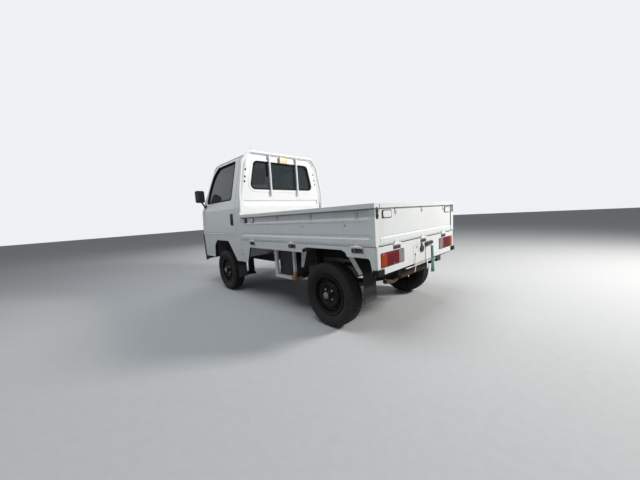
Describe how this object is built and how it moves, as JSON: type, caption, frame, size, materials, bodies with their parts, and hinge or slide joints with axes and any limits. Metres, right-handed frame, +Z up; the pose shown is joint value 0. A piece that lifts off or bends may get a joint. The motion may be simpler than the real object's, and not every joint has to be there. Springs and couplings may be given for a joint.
{
  "type": "kei truck",
  "caption": "Small flat-bed truck with a short cab over the front wheels, drop-side gates, a white window guard and black steel wheels.",
  "frame": {"origin": "on the ground, under the middle of the overall length and width", "axes": "+X forward, +Y to the truck's left, +Z up"},
  "size_m": [3.255, 1.617, 1.7919],
  "materials": {
    "body_white": "worn white enamel",
    "guard_white": "white enamel",
    "underbody_black": "matt black underseal",
    "window_glass": "clear",
    "trim_grey": "grained",
    "seat_cloth": "woven grey",
    "lamp_clear": "ribbed clear lens",
    "lamp_amber": "ribbed lens",
    "lamp_red": "ribbed lens",
    "bumper_plastic": "grained black",
    "black_plastic": "satin black",
    "strap_webbing": "woven polyester, sea green",
    "black_rubber": "matt",
    "old_plastic": "yellowed",
    "engine_metal": "dull cast",
    "rusty_steel": "rusted",
    "tyre_rubber": "matt",
    "rim_black": "satin black steel"
  },
  "bodies": {
    "chassis": {"cab_roof": "body_white", "cab_back": "body_white", "cab_side_left": "body_white", "cab_side_right": "body_white", "cab_front": "body_white", "cab_floor": "underbody_black", "cab_glass": "window_glass", "dash": "trim_grey", "seats": "seat_cloth", "headlamps": "lamp_clear", "front_signals": "lamp_amber", "front_bumper": "bumper_plastic", "bed": "body_white", "bed_sills": "body_white", "bed_bearers": "body_white", "tail_strap": "strap_webbing", "headboard": "body_white", "rear_panel": "body_white", "tail_lamps": "lamp_red", "corner_pads": "black_rubber", "window_guard": "guard_white", "bed_lamp": "old_plastic", "frame_rails": "underbody_black", "cross_members": "underbody_black", "engine": "engine_metal", "exhaust": "rusty_steel", "rear_axle": "underbody_black", "leaf_springs": "underbody_black", "front_arms": "underbody_black", "rear_liners": "underbody_black", "front_liners": "underbody_black", "mud_flaps": "black_rubber", "battery_box": "black_plastic", "battery_frame": "guard_white", "fuel_tank": "underbody_black", "tow_eyes": "underbody_black"},
    "door_left": {"door_left": "body_white", "door_glass_left": "window_glass", "door_handle_left": "black_plastic", "door_mirror_left": "black_plastic"},
    "side_gate_left": {"side_gate_left": "body_white"},
    "knuckle_left": {"knuckle_left": "underbody_black"},
    "wheel_front_left": {"tyre_front_left": "tyre_rubber", "rim_front_left": "rim_black"},
    "wheel_rear_left": {"tyre_rear_left": "tyre_rubber", "rim_rear_left": "rim_black"},
    "door_right": {"door_right": "body_white", "door_glass_right": "window_glass", "door_handle_right": "black_plastic", "door_mirror_right": "black_plastic"},
    "side_gate_right": {"side_gate_right": "body_white"},
    "knuckle_right": {"knuckle_right": "underbody_black"},
    "wheel_front_right": {"tyre_front_right": "tyre_rubber", "rim_front_right": "rim_black"},
    "wheel_rear_right": {"tyre_rear_right": "tyre_rubber", "rim_rear_right": "rim_black"},
    "tail_gate": {"tail_gate": "body_white"},
    "steering_wheel": {"steering_wheel": "black_plastic"}
  },
  "joints": [
    {"name": "door_left_hinge", "type": "hinge", "parent": "chassis", "child": "door_left", "pos_m": [1.3055, 0.6939, 0.9075], "axis": [0, 0, -1], "range_deg": [0, 65]},
    {"name": "door_right_hinge", "type": "hinge", "parent": "chassis", "child": "door_right", "pos_m": [1.3055, -0.6939, 0.9075], "axis": [0, 0, 1], "range_deg": [0, 65]},
    {"name": "side_gate_left_hinge", "type": "hinge", "parent": "chassis", "child": "side_gate_left", "pos_m": [-0.6975, 0.7005, 0.686], "axis": [-1, 0, 0], "range_deg": [0, 170]},
    {"name": "side_gate_right_hinge", "type": "hinge", "parent": "chassis", "child": "side_gate_right", "pos_m": [-0.6975, -0.7005, 0.686], "axis": [1, 0, 0], "range_deg": [0, 170]},
    {"name": "tail_gate_hinge", "type": "hinge", "parent": "chassis", "child": "tail_gate", "pos_m": [-1.6205, 0, 0.686], "axis": [0, -1, 0], "range_deg": [0, 170]},
    {"name": "steer_left", "type": "hinge", "parent": "chassis", "child": "knuckle_left", "pos_m": [0.7935, 0.49, 0.268], "axis": [0, 0, 1], "range_deg": [-33, 33]},
    {"name": "steer_right", "type": "hinge", "parent": "chassis", "child": "knuckle_right", "pos_m": [0.7935, -0.49, 0.268], "axis": [0, 0, 1], "range_deg": [-33, 33]},
    {"name": "wheel_front_left_spin", "type": "hinge", "parent": "knuckle_left", "child": "wheel_front_left", "pos_m": [0.7935, 0.6025, 0.268], "axis": [0, 1, 0], "continuous": true},
    {"name": "wheel_front_right_spin", "type": "hinge", "parent": "knuckle_right", "child": "wheel_front_right", "pos_m": [0.7935, -0.6025, 0.268], "axis": [0, 1, 0], "continuous": true},
    {"name": "wheel_rear_left_spin", "type": "hinge", "parent": "chassis", "child": "wheel_rear_left", "pos_m": [-1.1065, 0.6025, 0.268], "axis": [0, 1, 0], "continuous": true},
    {"name": "wheel_rear_right_spin", "type": "hinge", "parent": "chassis", "child": "wheel_rear_right", "pos_m": [-1.1065, -0.6025, 0.268], "axis": [0, 1, 0], "continuous": true},
    {"name": "steering_wheel_turn", "type": "hinge", "parent": "chassis", "child": "steering_wheel", "pos_m": [1.0535, -0.31, 1.075], "axis": [-0.5, 0, 0.866], "range_deg": [-600, 600]}
  ],
  "couplings": [
    {"joint": "steer_right", "follows": "steer_left", "ratio": 1},
    {"joint": "steering_wheel_turn", "follows": "steer_left", "ratio": 18}
  ]
}
